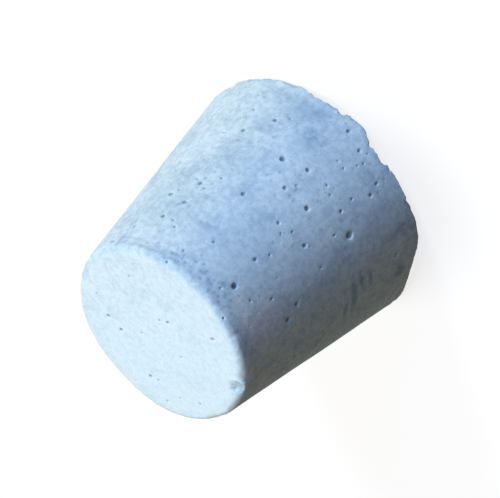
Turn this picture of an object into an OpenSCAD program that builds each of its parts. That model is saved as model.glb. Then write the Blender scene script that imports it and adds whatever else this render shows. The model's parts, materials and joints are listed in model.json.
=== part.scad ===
// Concrete bottle stopper: one solid tapered plug, cast in a single pour.
// It stands on its wide end. The origin is at the middle of that face, and +Z runs up the
// taper towards the narrow end. All sizes are in millimetres and all angles in degrees.

/* [Body] */
// Diameter of the wide end
base_d = 38; // [33:0.5:60]
// Diameter of the narrow end, where the side's line would meet its face
tip_d = 27.2; // [18:0.2:31]
// Height from the wide end to the narrow end
length = 34; // [22:0.2:60]

/* [Edges] */
// Rounding that the mould leaves round the narrow end
tip_edge_r = 0.85; // [0.4:0.05:2.5]
// Rounding worn on the edge of the wide end
base_edge_r = 0.3; // [0.1:0.1:0.8]

/* [Broken edges] */
// How far the tallest break climbs the side from the wide end
break_h = 2.15; // [1:0.05:3]
// Radius of the largest crumb missing from the wide edge
crumb_r = 0.7; // [0.4:0.1:1.4]
// Radius of the scooped chip in the narrow edge
chip_r = 2.6; // [1.5:0.1:4]

/* [Blow holes] */
// Opening radius of a large blow hole
large_hole_r = 0.45; // [0.3:0.01:0.7]
// Opening radius of a medium blow hole
medium_hole_r = 0.31; // [0.2:0.01:0.5]
// Opening radius of a small blow hole
small_hole_r = 0.19; // [0.1:0.01:0.3]
// Depth of a bubble's middle below the skin, as a share of the bubble's radius
hole_sink = 0.1; // [0:0.05:0.7]
// Number of blow holes on the far half of the side
far_holes = 46; // [0:1:90]
// Number of blow holes in the wide end
base_holes = 26; // [0:1:60]

/* [Hidden] */
$fn = 96;

// Smooth enough for a hollow under a millimetre across
hole_fn = 24;

base_r = base_d / 2;
tip_r = tip_d / 2;
// Angle between the side and the upright
taper = atan((base_r - tip_r) / length);

// Segments in each rounded edge's quarter of the outline
edge_steps = 8;

// How far the wide end's blow holes keep from its edge
hole_margin = 3;

// Where the far half of the side starts and ends, round the part
far_side = [5, 175];

// Share of a turn between one blow hole of a scatter and the next
golden = 0.618;

// Slopes in the wide edge, where the cast's open face was struck off low:
// [angle round the part, share of break_h, slope of the face from upright]
slopes = [
    [-162, 0.75, 60], [-111.5, 0.51, 68], [66, 0.24, 62], [112, 0.4, 66]
];

// Shell-shaped breaks in the wide edge: [angle round the part, share of break_h, half width]
scoops = [
    [-158, 1, 6.6], [-136, 0.36, 4.7], [-99, 0.72, 1.3], [-95, 0.58, 3.2], [-65.5, 0.29, 4.7],
    [-7, 0.38, 5], [24, 0.23, 3.2], [52, 0.4, 4.2], [84, 0.26, 2.6], [118, 0.6, 4.4],
    [147, 0.28, 3.4]
];

// Crumbs lost from the wide edge: [angle round the part, share of crumb_r]
crumbs = [
    [-120, 0.8], [-104, 0.6], [-100, 1], [-92, 0.8], [-74, 1], [-50, 0.5], [-27, 0.8],
    [-16, 1], [14, 0.7], [23, 1], [47, 0.7], [58, 1], [86, 0.8], [97, 1], [121, 0.7],
    [133, 0.9], [158, 0.8], [172, 0.6]
];

// How far in from the wide end's edge the top of a scoop lies
scoop_inset = 0.6;

// How far a crumb's middle stands off the edge each way, as a share of its radius
crumb_stand = 0.35;

// Where the chip lies round the narrow edge, and how far the middle of the ball that leaves it
// stands in from the side and off the end's face, as shares of its radius
chip_angle = -157;
chip_inset = 0.1;
chip_stand = 0.75;

// Blow holes in the near half of the side: [angle round the part, percent of the height]
large_side_holes = [
    [-115.5, 34], [-98.5, 88], [-93.5, 43], [-70, 34]
];
medium_side_holes = [
    [-131, 74], [-126.5, 68], [-105.5, 53.5], [-104.5, 32], [-107.5, 17], [-105.5, 12],
    [-139, 15.5], [-95, 74], [-90, 56.5], [-68, 56.5], [-80, 43.5], [-81.5, 31],
    [-45, 29.5], [-54.5, 20], [-90.5, 9], [-82, 6], [-42, 81], [-47, 71.5],
    [-35.5, 69], [-46.5, 60.5], [-20.5, 96]
];
small_side_holes = [
    [-119, 52], [-109, 86], [-115.5, 77.5], [-134.5, 34.5], [-103.5, 25], [-111, 40],
    [-98, 68], [-97, 54.5], [-54, 55], [-83, 39.5], [-96, 31.5], [-92, 30],
    [-59.5, 16.5], [-91.5, 19.5], [-87.5, 19], [-94.5, 14], [-95.5, 11.5], [-43, 59],
    [-50.5, 62], [-38.5, 66.5], [-52.5, 84], [-49, 81.5], [-29, 88], [-94, 93],
    [-66, 91.5], [-74.5, 81], [-41.5, 18], [-36, 32.5], [-153, 62], [-147, 27]
];

// Blow holes in the narrow end: [x, y] in percent of the end's radius
medium_tip_holes = [
    [29, 42], [47, 42], [-24, 59], [3, -26], [-37, -62], [87, -39], [94, -44]
];
small_tip_holes = [
    [13, 19], [10, -18], [-59, 46], [-53, 66], [-32, 53], [71, 31], [60, -30],
    [-76, 27], [-30, -4]
];

// Radius of the side at a height
function side_r(z) = base_r - z * tan(taper);

// Height at which a slope meets the side, at an angle round the part
function slope_z(angle, b) =
    let (c = cos(angle - b[0]), h = b[1] * break_h, lean = b[2],
         reach = side_r(h) * cos(lean) - h * sin(lean))
    (base_r * c * cos(lean) - reach) / (tan(taper) * c * cos(lean) + sin(lean));

// Radius of the ball that leaves a scoop of height h and half width w
function scoop_ball_r(h, w) = (w * w + h * h) / (2 * h);

// Height at which a scoop meets the side, at an angle round the part
function scoop_z(angle, b) =
    let (h = b[1] * break_h, ball_r = scoop_ball_r(h, b[2]), turn = angle - b[0],
         across = base_r * sin(turn), out = base_r * cos(turn) - (base_r - scoop_inset),
         rise = ball_r * ball_r - across * across - out * out)
    rise > 0 ? h - ball_r + sqrt(rise) : 0;

// Height of the wide edge at an angle round the part, breaks included
function edge_z(angle) =
    max(concat([0], [for (b = slopes) slope_z(angle, b)], [for (b = scoops) scoop_z(angle, b)]));

// Points of an arc about a centre
function arc_points(centre, r, from, to) =
    [for (i = [0:edge_steps]) let (a = from + (to - from) * i / edge_steps)
        centre + r * [cos(a), sin(a)]];

// Half of the plug's outline, from the middle of the wide end to the middle of the narrow end
function outline() =
    let (base_centre = [base_r - base_edge_r / tan(45 - taper / 2), base_edge_r],
         tip_centre = [tip_r - tip_edge_r / tan(45 + taper / 2), length - tip_edge_r])
    concat(
        [[0, 0]],
        arc_points(base_centre, base_edge_r, -90, taper),
        arc_points(tip_centre, tip_edge_r, taper, 90),
        [[0, length]]
    );

// What is left by a bubble of air, with its opening of radius r at the origin, facing +Z
module bubble(r) {
    bubble_r = r / sqrt(1 - hole_sink * hole_sink);
    translate([0, 0, -hole_sink * bubble_r])
        sphere(bubble_r, $fn = hole_fn);
}

// Puts what faces +Z onto the side, square to it
module on_side(angle, z) {
    rotate([0, 0, angle])
        translate([side_r(z), 0, z])
            rotate([0, 90 - taper, 0])
                children();
}

module side_holes(places, r) {
    for (p = places)
        on_side(p[0], p[1] / 100 * length)
            bubble(r);
}

// Blow holes on the far side, scattered over it with the same three sizes
module far_side_holes() {
    spread = far_side[1] - far_side[0];
    shifts = rands(-14, 14, far_holes + 1, 71);
    lifts = rands(-4, 4, far_holes + 1, 8);
    sizes = [medium_hole_r, small_hole_r, small_hole_r, medium_hole_r, small_hole_r,
             small_hole_r, large_hole_r, small_hole_r];
    for (i = [0:1:far_holes - 1]) {
        share = i * golden - floor(i * golden);
        percent = 8 + 84 * (i + 0.5) / far_holes + lifts[i];
        on_side(far_side[0] + spread * share + shifts[i], percent / 100 * length)
            bubble(sizes[i % len(sizes)]);
    }
}

module tip_holes(places, r) {
    for (p = places)
        translate([p[0] / 100 * tip_r, p[1] / 100 * tip_r, length])
            bubble(r);
}

// Blow holes in the wide end, on a spiral that keeps them off its edge
module wide_end_holes() {
    shifts = rands(-30, 30, base_holes + 1, 19);
    sizes = [small_hole_r, medium_hole_r, small_hole_r, large_hole_r, small_hole_r];
    for (i = [0:1:base_holes - 1])
        rotate([0, 0, i * golden * 360 + shifts[i]])
            translate([(base_r - hole_margin) * sqrt((i + 0.5) / base_holes), 0, 0])
                rotate([180, 0, 0])
                    bubble(sizes[i % len(sizes)]);
}

// A flat slope across the wide edge, which climbs the side by h and leans inwards below it
module edge_slope(angle, h, lean) {
    rotate([0, 0, angle])
        translate([side_r(h), 0, h])
            rotate([0, lean, 0])
                translate([0, -base_r, -base_r])
                    cube([base_r, base_d, base_d]);
}

// A shell-shaped break in the wide edge, hollowed from below
module edge_scoop(angle, h, w) {
    ball_r = scoop_ball_r(h, w);
    rotate([0, 0, angle])
        translate([base_r - scoop_inset, 0, h - ball_r])
            sphere(ball_r, $fn = 4 * hole_fn);
}

// A crumb lost from the wide edge, broken or not
module edge_crumb(angle, r) {
    z = edge_z(angle);
    rotate([0, 0, angle])
        translate([side_r(z) + crumb_stand * r, 0, z - crumb_stand * r])
            sphere(r, $fn = hole_fn);
}

// The chip in the narrow edge
module tip_chip() {
    rotate([0, 0, chip_angle])
        translate([tip_r - chip_inset * chip_r, 0, length + chip_stand * chip_r])
            sphere(chip_r, $fn = 4 * hole_fn);
}

module stopper() {
    color([0.75, 0.85, 0.92])
        difference() {
            rotate_extrude()
                polygon(outline());
            side_holes(large_side_holes, large_hole_r);
            side_holes(medium_side_holes, medium_hole_r);
            side_holes(small_side_holes, small_hole_r);
            far_side_holes();
            tip_holes(medium_tip_holes, medium_hole_r);
            tip_holes(small_tip_holes, small_hole_r);
            wide_end_holes();
            for (b = slopes)
                edge_slope(b[0], b[1] * break_h, b[2]);
            for (b = scoops)
                edge_scoop(b[0], b[1] * break_h, b[2]);
            for (c = crumbs)
                edge_crumb(c[0], c[1] * crumb_r);
            tip_chip();
        }
}

stopper();
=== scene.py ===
import json
import math
import random

import bmesh
import bpy
import numpy as np
from mathutils import Matrix, Vector, noise
from mathutils.bvhtree import BVHTree
from mathutils.geometry import delaunay_2d_cdt

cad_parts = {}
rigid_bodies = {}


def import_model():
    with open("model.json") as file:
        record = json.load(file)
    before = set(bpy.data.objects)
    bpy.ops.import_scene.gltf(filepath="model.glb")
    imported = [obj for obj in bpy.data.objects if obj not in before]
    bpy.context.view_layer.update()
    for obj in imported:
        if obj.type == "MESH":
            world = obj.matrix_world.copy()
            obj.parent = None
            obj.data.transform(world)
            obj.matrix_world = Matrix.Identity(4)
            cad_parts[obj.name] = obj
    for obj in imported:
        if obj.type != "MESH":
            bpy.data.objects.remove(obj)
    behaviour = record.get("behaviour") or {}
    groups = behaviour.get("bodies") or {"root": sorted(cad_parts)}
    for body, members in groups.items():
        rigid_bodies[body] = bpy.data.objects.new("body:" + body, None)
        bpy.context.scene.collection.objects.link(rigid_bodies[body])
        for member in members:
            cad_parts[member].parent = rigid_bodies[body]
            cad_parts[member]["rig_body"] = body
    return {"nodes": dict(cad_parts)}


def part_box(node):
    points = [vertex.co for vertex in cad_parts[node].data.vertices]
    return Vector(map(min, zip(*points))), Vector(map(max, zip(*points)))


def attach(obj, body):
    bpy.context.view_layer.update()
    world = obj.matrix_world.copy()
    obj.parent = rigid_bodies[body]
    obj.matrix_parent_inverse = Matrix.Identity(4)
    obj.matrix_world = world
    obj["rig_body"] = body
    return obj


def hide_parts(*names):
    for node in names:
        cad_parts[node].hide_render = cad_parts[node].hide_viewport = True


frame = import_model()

MM = 0.001
STOPPER = frame["nodes"]["stopper"]


def clear_stray_objects():
    """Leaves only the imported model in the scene."""
    for obj in list(bpy.data.objects):
        if "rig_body" not in obj and not obj.name.startswith("body:"):
            bpy.data.objects.remove(obj)
    bpy.context.view_layer.update()


clear_stray_objects()
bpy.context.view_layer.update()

# ---------------------------------------------------------------- the ideal plug
# All lengths from here to the mesh are in millimetres.

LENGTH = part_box("stopper")[1].z / MM
TIP_EDGE_R = 0.85         # rounding of the edge round the narrow end
BASE_EDGE_R = 0.3         # rounding of the edge round the wide end
RAY_START = 0.6           # how far outside the skin a ray starts
RAY_REACH = 12.0          # how far a ray may go before it gives up
RIM_REACH = 5.5           # how far the broken wide edge may reach along either face
FAR_OUT = 40.0            # well outside the plug, where the rays that gauge its side start
GAUGE_RAYS = 72           # how many of them are spread round the plug
GAUGE_AT = (0.3, 0.8)     # where the side is gauged, as shares of the height


def load_cad_tree():
    """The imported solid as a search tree, in millimetres."""
    mesh = STOPPER.data
    points = [v.co / MM for v in mesh.vertices]
    faces = [tuple(p.vertices) for p in mesh.polygons]
    return BVHTree.FromPolygons(points, faces)


CAD = load_cad_tree()


def widest_radius(z):
    """Largest radius of the solid at a height, so that a blow hole in the way doesn't count."""
    radii = []
    for i in range(GAUGE_RAYS):
        turn = i * math.tau / GAUGE_RAYS
        out = Vector((math.cos(turn), math.sin(turn), 0))
        hit = CAD.ray_cast(out * FAR_OUT + Vector((0, 0, z)), -out, FAR_OUT)[0]
        radii.append(math.hypot(hit.x, hit.y))
    return max(radii)


def side_line():
    """Radius at the wide end and at the narrow end, read from two heights of the side."""
    low, high = (share * LENGTH for share in GAUGE_AT)
    slope = (widest_radius(high) - widest_radius(low)) / (high - low)
    base = widest_radius(low) - slope * low
    return base, base + slope * LENGTH


BASE_R, TIP_R = side_line()
TAPER = math.atan((BASE_R - TIP_R) / LENGTH)
TIP_FLAT_R = TIP_R - TIP_EDGE_R / math.tan(math.pi / 4 + TAPER / 2)
BASE_FLAT_R = BASE_R - BASE_EDGE_R / math.tan(math.pi / 4 - TAPER / 2)
TIP_ARC = TIP_EDGE_R * (math.pi / 2 - TAPER)
BASE_ARC = BASE_EDGE_R * (math.pi / 2 + TAPER)
SIDE_TOP = (TIP_FLAT_R + TIP_EDGE_R * math.cos(TAPER),
            LENGTH - TIP_EDGE_R + TIP_EDGE_R * math.sin(TAPER))
SIDE_FOOT = (BASE_FLAT_R + BASE_EDGE_R * math.cos(TAPER),
             BASE_EDGE_R + BASE_EDGE_R * math.sin(TAPER))
SLANT = math.hypot(SIDE_FOOT[0] - SIDE_TOP[0], SIDE_TOP[1] - SIDE_FOOT[1])

# Distance along the outline from the middle of the narrow end
CAP_END = TIP_FLAT_R + TIP_ARC
SIDE_END = CAP_END + SLANT
BASE_START = SIDE_END + BASE_ARC
OUTLINE_END = BASE_START + BASE_FLAT_R
ARRIS = SIDE_END + BASE_ARC / 2


def outline(s):
    """Radius, height and outward normal (out, up) at a distance along the outline."""
    if s <= TIP_FLAT_R:
        return s, LENGTH, 0.0, 1.0
    if s <= CAP_END:
        a = math.pi / 2 - (s - TIP_FLAT_R) / TIP_EDGE_R
        return (TIP_FLAT_R + TIP_EDGE_R * math.cos(a),
                LENGTH - TIP_EDGE_R + TIP_EDGE_R * math.sin(a), math.cos(a), math.sin(a))
    if s <= SIDE_END:
        t = (s - CAP_END) / SLANT
        return (SIDE_TOP[0] + t * (SIDE_FOOT[0] - SIDE_TOP[0]),
                SIDE_TOP[1] + t * (SIDE_FOOT[1] - SIDE_TOP[1]), math.cos(TAPER), math.sin(TAPER))
    if s <= BASE_START:
        a = TAPER - (s - SIDE_END) / BASE_EDGE_R
        return (BASE_FLAT_R + BASE_EDGE_R * math.cos(a), BASE_EDGE_R + BASE_EDGE_R * math.sin(a),
                math.cos(a), math.sin(a))
    return max(OUTLINE_END - s, 0.0), 0.0, 0.0, -1.0


def skin_point(s, angle):
    """Point of the ideal skin and its outward normal."""
    r, z, out, up = outline(s)
    c, t = math.cos(angle), math.sin(angle)
    return Vector((r * c, r * t, z)), Vector((out * c, out * t, up))


def inward(s, angle, point, normal):
    """Direction in which to look for the solid: square to the skin, but near the wide edge towards
    a ring inside the body, so that a break is covered once."""
    if abs(s - ARRIS) > RIM_REACH:
        return -normal
    ring_r = BASE_R - RIM_REACH
    ring = Vector((ring_r * math.cos(angle), ring_r * math.sin(angle), RIM_REACH))
    return (ring - point).normalized()


# ---------------------------------------------------------------- blow holes of the solid

HOLE_R_MAX = 1.0          # a ball larger than this is a break, not a blow hole
SKIN_DEPTH = 0.006        # a vertex deeper than this lies inside a hollow
FIT_ERROR = 0.004         # how well a hollow's vertices must fit a ball
FIT_POINTS = 6            # fewest vertices that a ball is fitted to
WELD = 1e-7               # vertices of the solid this near, in metres, are one
SKIN_WHOLE = 0.05         # how deep the solid may lie where the skin still counts as whole
LIP_RAYS = 12             # rays cast round a blow hole to test the skin there
LIP_RAYS_AT = 1.25        # how far from its middle they are, as a share of its opening
MIDDLE_R = 0.5            # least radius by which a length round the plug is turned into an angle


def skin_depth(p):
    """How far a point lies inside the ideal plug, and which face is nearest: tip, side or base."""
    r = math.hypot(p.x, p.y)
    side = (BASE_R - r) * math.cos(TAPER) - p.z * math.sin(TAPER)
    return min((side, "side"), (LENGTH - p.z, "tip"), (p.z, "base"))


def fit_ball(points):
    """Centre, radius and worst error of the ball nearest to some points."""
    a = np.array([[2 * p.x, 2 * p.y, 2 * p.z, 1.0] for p in points])
    b = np.array([p.length_squared for p in points])
    x = np.linalg.lstsq(a, b, rcond=None)[0]
    centre = Vector(x[:3])
    radius = math.sqrt(max(x[3] + centre.length_squared, 0.0))
    return centre, radius, max(abs((p - centre).length - radius) for p in points)


def hollow_groups():
    """Groups of joined vertices of the solid that lie inside the ideal skin."""
    bm = bmesh.new()
    bm.from_mesh(STOPPER.data)
    bmesh.ops.remove_doubles(bm, verts=bm.verts, dist=WELD)
    bm.verts.ensure_lookup_table()
    left = {v.index for v in bm.verts if skin_depth(v.co / MM)[0] > SKIN_DEPTH}
    groups = []
    for start in sorted(left):
        if start not in left:
            continue
        left.discard(start)
        group, front = [], [bm.verts[start]]
        while front:
            v = front.pop()
            group.append(v.co / MM)
            for e in v.link_edges:
                n = e.other_vert(v)
                if n.index in left:
                    left.discard(n.index)
                    front.append(n)
        groups.append(group)
    bm.free()
    return groups


def outline_place(p, face):
    """Distance along the outline and angle round the plug of the skin nearest to a point."""
    angle = math.atan2(p.y, p.x)
    r = math.hypot(p.x, p.y)
    if face == "tip":
        return r, angle
    if face == "base":
        return OUTLINE_END - r, angle
    along = (r - SIDE_TOP[0]) * math.sin(TAPER) + (SIDE_TOP[1] - p.z) * math.cos(TAPER)
    return CAP_END + along, angle


def skin_is_whole(s, angle, r):
    """True if the solid reaches the ideal skin all round a blow hole."""
    for i in range(LIP_RAYS):
        a = i * math.tau / LIP_RAYS
        radius = max(outline(s)[0], MIDDLE_R)
        spot = (s + LIP_RAYS_AT * r * math.sin(a), angle + LIP_RAYS_AT * r * math.cos(a) / radius)
        point, normal = skin_point(*spot)
        way = inward(*spot, point, normal)
        hit = CAD.ray_cast(point - way * RAY_START, way, RAY_REACH)[0]
        if hit is None or (hit - point).length > SKIN_WHOLE:
            return False
    return True


def cad_holes():
    """The solid's blow holes: place along the outline, angle, ball radius, depth of its middle."""
    holes = []
    for group in hollow_groups():
        if len(group) < FIT_POINTS:
            continue
        centre, radius, error = fit_ball(group)
        if radius > HOLE_R_MAX or error > FIT_ERROR:
            continue
        depth, face = skin_depth(centre)
        if depth >= radius:
            continue
        s, angle = outline_place(centre, face)
        opening = math.sqrt(radius * radius - depth * depth)
        if skin_is_whole(s, angle, opening):
            holes.append((s, angle, radius, depth))
    return holes


# ---------------------------------------------------------------- lie of the cast surface

SEED = 41
noise.seed_set(SEED)      # without it the noise vectors change from run to run
NOISE_SHIFT = Vector((37.2, 11.8, 5.4))
NICK_SEED, FINE_NICK_SEED, HOLE_SEED, CHIP_SEED = 3, 4, 6, 7

# Waves of the cast surface: size, lift, seed
WAVES = ((9.0, 0.055, 0), (3.2, 0.019, 1), (1.3, 0.006, 2))

# Nicks along the narrow edge, coarse and fine
NICK_LIFT = 0.05
NICK_COARSE, NICK_FINE = 1.1, 0.6
NICKS_ABOVE = 0.5         # how far above the side's top they are deepest
NICKS_REACH = 0.8

# The cast is a little out of true: its narrow face leans, and its wide edge bulges at one place
LEAN = 0.24               # how much the narrow face rises at its high side
SETTLE = 0.12             # how much of that the whole face lies lower
LEAN_ANGLE = math.radians(150)
LEAN_FROM = 20.0          # height above which the lean starts
BULGE = 0.11
BULGE_FROM = 10.0         # radius from which the bulge grows
BULGE_ANGLE = math.radians(-38)
BULGE_WIDTH = math.radians(24)
BULGE_TOP = 7.0           # height at which the bulge has died out

MARK_FALL = 1.6           # how fast a mark fades across its width
MARK_END = 2.0            # half widths past which it is too faint to matter
# Marks left by the mould and the trowel: (angle, height) of both ends, half width, lift
MARKS = [
    ((-97.0, 21.2), (-94.4, 20.0), 0.16, -0.05),
    ((-84.6, 31.7), (-84.6, 30.4), 0.12, -0.04),
    ((-55.5, 28.8), (-48.5, 27.2), 0.35, 0.03),
    ((-42.5, 12.0), (-42.5, 11.0), 0.14, -0.04),
    ((-36.0, 6.9), (-29.5, 6.8), 0.25, 0.03),
    ((-62.0, 32.1), (-45.0, 32.0), 0.22, -0.04),
    ((-45.0, 32.0), (-27.0, 31.9), 0.22, -0.05),
    ((-164.0, 30.8), (-150.0, 28.6), 0.40, -0.04),
    ((-160.0, 26.2), (-146.0, 24.6), 0.45, -0.05),
    ((-166.0, 18.8), (-148.0, 16.8), 0.50, -0.04),
    ((-158.0, 13.6), (-142.0, 12.2), 0.45, -0.04),
    ((34.0, 22.0), (48.0, 19.5), 0.40, -0.04),
    ((88.0, 27.5), (101.0, 27.0), 0.30, 0.03),
    ((128.0, 14.5), (146.0, 12.0), 0.45, -0.04),
]


def smooth(low, high, x):
    """0 below low, 1 above high and an even turn between."""
    t = min(max((x - low) / (high - low), 0.0), 1.0)
    return t * t * (3 - 2 * t)


def wrapped(angle):
    """An angle brought to between minus half a turn and half a turn."""
    return (angle + math.pi) % math.tau - math.pi


def grain(p, size, seed):
    """Even noise of one size of bump, from about -1 to 1."""
    return noise.noise(p / size + NOISE_SHIFT * (1 + seed))


def mark_lift(angle, z):
    """Lift of the skin where a mark crosses it."""
    lift = 0.0
    for (a0, z0), (a1, z1), half, height in MARKS:
        r = BASE_R - z * math.tan(TAPER)
        x = wrapped(angle - math.radians(a0)) * r
        y = z - z0
        dx = math.radians(a1 - a0) * r
        dy = z1 - z0
        t = min(max((x * dx + y * dy) / (dx * dx + dy * dy), 0.0), 1.0)
        d = math.hypot(x - t * dx, y - t * dy) / half
        if d < MARK_END:
            lift += height * math.exp(-d * d * MARK_FALL)
    return lift


# The narrow edge is more worn along one stretch: angles from and to
SOFT_EDGE = (math.radians(-172), math.radians(-14))
SOFT_FADE = math.radians(14)
SOFTENING = -0.13         # how far the worn stretch lies inside its rounding
SOFT_REACH = 1.15         # how far along the outline the wear reaches
EDGE_REACH = 1.3          # how far along the outline a dent in the edge is felt
EDGE_END = 3.0            # past this neither wear nor dents are felt
DENT_END = 3.0            # half widths past which a dent is too faint to matter
# Dents (below 0) and burrs in the narrow edge: angle, half width in degrees, lift
EDGE_DENTS = [
    (158, 9, -0.08), (128, 9, 0.08), (105, 9, -0.11), (93, 8, -0.22), (80, 9, -0.20),
    (66, 8, -0.11), (34, 8, -0.08), (20, 9, -0.11), (9, 7, -0.07), (168, 6, -0.10),
    (-151.5, 1.0, 0.24), (-147, 1.6, -0.10), (-99, 1.6, -0.06), (-119, 1.4, -0.05),
]


def edge_lift(s, angle):
    """Wear, dents and burrs of the narrow edge."""
    middle = CAP_END - TIP_ARC / 2
    if abs(s - middle) > EDGE_END:
        return 0.0
    lift = 0.0
    across = abs(s - middle) / SOFT_REACH
    if across < 1:
        start, end = SOFT_EDGE
        turn = wrapped(angle)
        worn = smooth(start - SOFT_FADE, start, turn) * (1 - smooth(end, end + SOFT_FADE, turn))
        lift = SOFTENING * worn * math.cos(across * math.pi / 2) ** 2
    near = math.exp(-((s - middle) / EDGE_REACH) ** 2)
    for centre, half, height in EDGE_DENTS:
        turn = wrapped(angle - math.radians(centre)) / math.radians(half)
        if abs(turn) < DENT_END:
            lift += height * near * math.exp(-turn * turn)
    return lift


def skin_lift(p, s, angle):
    """How far the cast skin stands off the ideal skin."""
    lift = 0.0
    for size, height, seed in WAVES:
        lift += height * grain(p, size, seed)
    if CAP_END < s < SIDE_END:
        lift += mark_lift(angle, p.z)
    near = math.exp(-((s - CAP_END + NICKS_ABOVE) / NICKS_REACH) ** 2)
    coarse = NICK_LIFT * grain(p, NICK_COARSE, NICK_SEED)
    fine = NICK_LIFT * abs(grain(p, NICK_FINE, FINE_NICK_SEED))
    lift += near * (coarse + fine)
    return lift + edge_lift(s, angle)


# ---------------------------------------------------------------- stains, tones, painted shade and painted light tint

# Stains on the side, and painted shade where the dark ones lie on the shaded side's dips and under
# the narrow edge's
# groove: angle, height, half length round the plug, half height, tilt in degrees and depth of the
# stain (below 0 where the paste is paler)
STAINS_AND_SHADE = [
    (-72.0, 32.7, 3.2, 0.4, 0, 0.4), (-44.0, 32.8, 4.6, 0.3, 0, 0.6),
    (-92.0, 32.4, 2.2, 0.5, 0, 0.3), (-80.5, 31.6, 0.7, 0.35, 20, 0.5),
    (-87.0, 31.9, 0.5, 0.4, -20, 0.5), (-101.0, 31.7, 0.6, 0.4, 30, 0.5),
    (-74.0, 30.9, 0.4, 0.4, 0, 0.5), (-93.0, 30.7, 0.5, 0.4, 0, 0.4),
    (-64.5, 31.9, 0.5, 0.3, 0, 0.5), (-28.0, 30.6, 5.0, 1.5, 0, -0.5),
    (-50.0, 30.9, 2.6, 0.8, 0, -0.3), (-136.0, 29.0, 5.0, 2.6, 0, -0.36),
    (-106.0, 30.4, 0.75, 0.9, 25, -0.9), (-115.0, 30.6, 1.1, 0.6, 35, -0.8),
    (-123.0, 30.2, 1.6, 0.5, 30, -0.5), (-69.1, 30.3, 1.3, 0.7, 10, -0.4),
    (-55.0, 29.6, 2.4, 0.6, 8, -0.35), (-93.6, 20.1, 0.45, 0.2, 20, 0.9),
    (-97.5, 20.9, 0.24, 0.6, 10, -0.8), (-148.9, 4.6, 0.9, 0.8, 40, 1.5),
    (-145.0, 13.4, 2.4, 0.5, 0, 1.5), (-138.5, 11.9, 1.7, 0.35, 4, 1.2),
    (-150.0, 15.0, 1.8, 0.4, -4, 1.0), (-141.0, 10.3, 1.7, 0.35, 0, 1.1),
    (-158.0, 12.0, 2.0, 0.5, 10, 0.6), (-146.0, 8.2, 1.5, 0.5, 25, 0.5),
    (-128.5, 4.5, 0.5, 3.0, 8, 0.5), (-120.0, 27.5, 2.6, 5.5, 0, -0.75),
    (-64.0, 5.5, 8.0, 5.0, 0, 0.42), (-72.0, 27.0, 5.0, 4.0, 0, 0.25),
    (-139.0, 21.0, 1.4, 0.6, 30, 0.6), (-150.0, 24.0, 1.0, 1.4, 20, 0.6),
    (-160.0, 20.0, 1.2, 0.8, 0, 0.6), (-38.0, 12.0, 3.6, 4.4, 20, -0.4),
    (-24.0, 16.0, 3.2, 4.5, 0, -0.36), (-62.0, 19.5, 2.0, 2.8, 0, -0.3),
    (-52.0, 11.8, 0.9, 0.7, 0, 0.6), (-49.0, 9.3, 1.2, 0.6, 30, 0.5),
    (-30.5, 8.5, 1.4, 0.4, 0, 0.7), (-25.0, 10.0, 1.2, 0.4, 10, 0.5),
    (-57.0, 22.0, 1.7, 0.8, 20, 0.5), (-66.0, 26.0, 2.0, 0.6, 10, 0.5),
    (-64.0, 3.0, 2.6, 1.4, 0, 0.7), (-47.0, 2.4, 3.2, 1.0, 0, 0.4), (-73.0, 7.0, 1.8, 1.6, 0, 0.5),
    (-100.0, 4.5, 1.2, 2.2, 0, 0.3), (-118.0, 7.5, 2.4, 2.2, 0, 0.4),
    (40.0, 20.0, 3.0, 2.6, 15, 0.4), (75.0, 11.0, 3.4, 2.0, -20, -0.3),
    (105.0, 24.0, 2.2, 1.2, 10, 0.5), (128.0, 9.0, 2.8, 1.4, 25, 0.5),
    (150.0, 17.0, 1.6, 3.0, 0, -0.3), (170.0, 25.0, 2.4, 1.0, 20, 0.4),
]
STAIN_AND_SHADE_END = 2.2           # half sizes past which a stain, or a patch of painted shade, is too faint to matter

# A band of small painted shadows of the grain under the narrow edge: first and last angle, lowest
# and highest place, how many, smallest and largest half size, least and most depth
SHADOW_SPECK_BAND = (-108, -62, 30.6, 32.9, 64, 0.1, 0.24, 0.6, 1.3)


def stain_band():
    """The band's painted shadows, in the same terms as the stains."""
    source = random.Random(SEED + 1)
    first, last, bottom, top, count, small, large, faint, deep = SHADOW_SPECK_BAND
    for _ in range(count):
        yield (source.uniform(first, last), source.uniform(bottom, top),
               source.uniform(small, large), source.uniform(small, large), 0,
               source.uniform(faint, deep))


# The band's painted shadows are added to the stains
STAINS_AND_SHADE += stain_band()

# Slow change of the side's tone round the plug, which is also painted light colour: greyer where the
# side is in shade or lit brightest, bluer in the half-lit band: angle, half width in degrees, how
# grey (below 0: how blue)
SIDE_TONES_AND_LIGHT_TINTS = [(-134, 12, 0.5), (-90, 18, -0.6), (-26, 40, 0.85), (75, 40, -0.5), (140, 30, 0.4)]

# Dirt in the rounding of the narrow edge, which is also painted shade that dims the lamps' highlight
# there: middle of the stretch and half width in degrees, depth
EDGE_DIRT_AND_SHADE = [(-54, 56, 0.75), (-112, 14, 0.3), (60, 70, 0.4), (160, 50, 0.35)]
EDGE_BLUE_LIGHT = (-128, 34, 1.3)   # stretch of the narrow edge's rounding with painted bluish light
EDGE_PAINT_REACH = 0.75    # how far from the middle of the rounding the dirt, painted shade and painted light reach
EDGE_MIDDLE = (TIP_FLAT_R + 0.7 * TIP_EDGE_R, LENGTH - 0.3 * TIP_EDGE_R)    # radius and height

TIP_FADE = (0.4, 0.9)     # depths below the narrow face between which the side's tone takes over
FOOT_FADE = (0.3, 1.2)    # heights above the wide face between which it does
RIM_FADE = (4.0, 0.5)     # and how far inside the wide edge it ends and is still whole


def below_tip(p):
    """0 on the narrow face and 1 below its edge."""
    return smooth(*TIP_FADE, LENGTH - p.z)


def on_side(p):
    """1 on the side, and less and less inwards from the edge on the wide end's face."""
    end, start = RIM_FADE
    return max(smooth(*FOOT_FADE, p.z), smooth(BASE_R - end, BASE_R - start, math.hypot(p.x, p.y)))


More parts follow.
